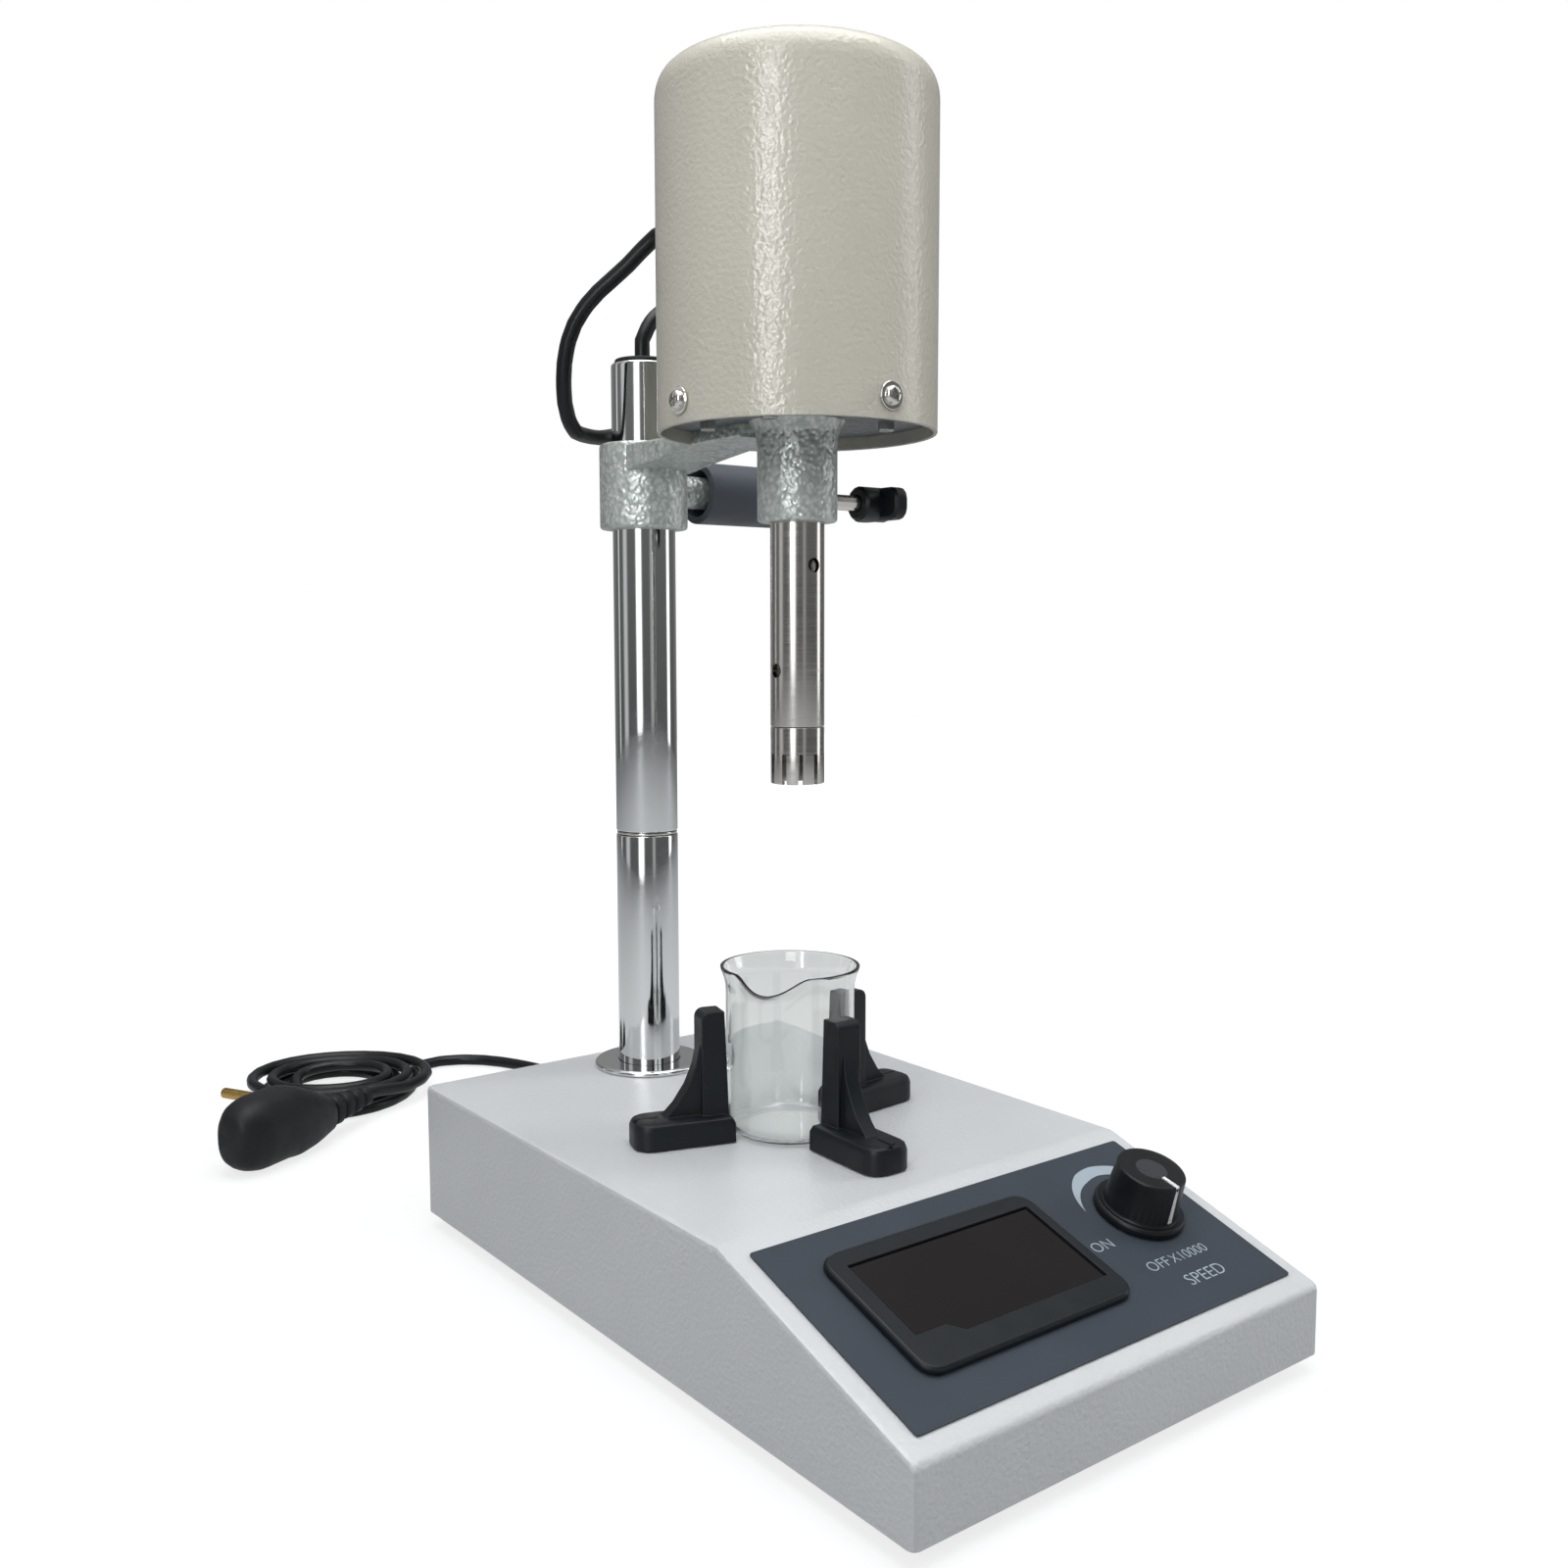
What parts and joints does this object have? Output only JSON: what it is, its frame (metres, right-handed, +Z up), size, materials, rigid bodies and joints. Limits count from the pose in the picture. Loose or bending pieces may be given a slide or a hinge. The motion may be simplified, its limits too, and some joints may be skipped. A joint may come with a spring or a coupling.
{
  "type": "laboratory homogenizer",
  "caption": "Bench homogenizer: a motor head on a sliding arm drives a stator and rotor tool over a beaker held by sliding jaws on a base with a speed control.",
  "frame": {"origin": "on the bench, under the middle of the base", "axes": "+X to the right across the front panel, -Y out of the front, +Y to the back, +Z up"},
  "size_m": [0.2236, 0.5179, 0.4246],
  "materials": {
    "white_paint": "fine textured powder coat, off-white",
    "cream_paint": "textured enamel, warm off-white",
    "slate_film": "matt printed film",
    "black_plastic": "satin moulded black",
    "grey_plastic": "satin moulded grey",
    "smoked_acrylic": "gloss smoked acrylic",
    "white_mark": "white inlay",
    "rubber": "matt rubber",
    "cord_jacket": "satin PVC jacket",
    "chrome": "polished chrome plate",
    "steel": "polished stainless steel",
    "zinc": "zinc or plain alloy",
    "casting": "cast alloy with hammered silver paint",
    "brass": "plain brass",
    "board": "printed circuit board",
    "glass": "clear borosilicate glass",
    "fluoropolymer": "white fluoropolymer"
  },
  "bodies": {
    "base": {"base_shell": "white_paint", "base_plate": "zinc", "foot_1": "rubber", "foot_2": "rubber", "foot_3": "rubber", "foot_4": "rubber", "panel_overlay": "slate_film", "display_bezel": "black_plastic", "display_window": "smoked_acrylic", "display_board": "board", "potentiometer": "zinc", "potentiometer_nut": "zinc", "control_board": "board", "cord_gland": "rubber", "column_flange": "chrome", "column_lower": "chrome", "column_nut": "zinc", "column_spigot": "steel", "column_lead": "cord_jacket", "mains_cord": "cord_jacket", "mains_cord_coil": "cord_jacket", "mains_plug": "rubber", "plug_pin_1": "brass", "plug_pin_2": "brass"},
    "upper_column": {"column_upper": "chrome", "column_grommet": "rubber"},
    "head": {"arm_casting": "casting", "motor_cover": "cream_paint", "cover_screw_1": "steel", "cover_screw_2": "steel", "cover_screw_3": "steel", "cable_grommet": "rubber", "lower_end_bell": "zinc", "stator_core": "steel", "upper_end_bell": "zinc", "lower_bearing": "steel", "upper_bearing": "steel", "brush_holder_1": "brass", "brush_holder_2": "brass", "generator_tube": "steel", "generator_head": "steel", "generator_bush": "fluoropolymer", "motor_cable": "cord_jacket"},
    "rotor": {"armature": "steel", "cooling_fan": "black_plastic", "drive_coupling": "steel", "generator_shaft": "steel"},
    "speed_control": {"speed_knob": "black_plastic", "knob_pointer": "white_mark", "potentiometer_shaft": "steel"},
    "column_lock": {"lock_knob": "grey_plastic"},
    "tool_clamp": {"wing_knob": "black_plastic", "generator_lock_screw": "steel"},
    "left_jaw": {"jaw_left": "black_plastic", "jaw_screw_left": "zinc"},
    "front_jaw": {"jaw_front": "black_plastic", "jaw_screw_front": "zinc"},
    "right_jaw": {"jaw_right": "black_plastic", "jaw_screw_right": "zinc"},
    "vessel": {"beaker": "glass"}
  },
  "joints": [
    {"name": "arm_swing", "type": "hinge", "parent": "base", "child": "upper_column", "pos_m": [0, 0.115, 0.25], "axis": [0, 0, 1], "range_deg": [-60, 60]},
    {"name": "head_lift", "type": "slide", "parent": "upper_column", "child": "head", "axis": [0, 0, 1], "range_m": [-0.11, 0.03], "deforming": ["motor_cable"]},
    {"name": "rotor_spin", "type": "hinge", "parent": "head", "child": "rotor", "pos_m": [0, 0.015, 0.3], "axis": [0, 0, 1], "continuous": true},
    {"name": "column_lock_turn", "type": "hinge", "parent": "head", "child": "column_lock", "pos_m": [0.03, 0.115, 0.292], "axis": [1, 0, 0], "range_deg": [-180, 180]},
    {"name": "tool_clamp_turn", "type": "hinge", "parent": "head", "child": "tool_clamp", "pos_m": [0.03, 0.015, 0.281], "axis": [1, 0, 0], "range_deg": [-180, 180]},
    {"name": "speed_knob_turn", "type": "hinge", "parent": "base", "child": "speed_control", "pos_m": [0.055, -0.09552, 0.04466], "axis": [0, -0.3132, 0.9497], "range_deg": [-290, 0]},
    {"name": "left_jaw_slide", "type": "slide", "parent": "base", "child": "left_jaw", "axis": [-0.9563, 0.2924, 0], "range_m": [0, 0.012]},
    {"name": "front_jaw_slide", "type": "slide", "parent": "base", "child": "front_jaw", "axis": [-0.0349, -0.9994, 0], "range_m": [0, 0.012]},
    {"name": "right_jaw_slide", "type": "slide", "parent": "base", "child": "right_jaw", "axis": [0.9945, 0.1045, 0], "range_m": [0, 0.012]},
    {"name": "beaker_lift", "type": "slide", "parent": "base", "child": "vessel", "axis": [0, 0, 1], "range_m": [0, 0.05]}
  ]
}
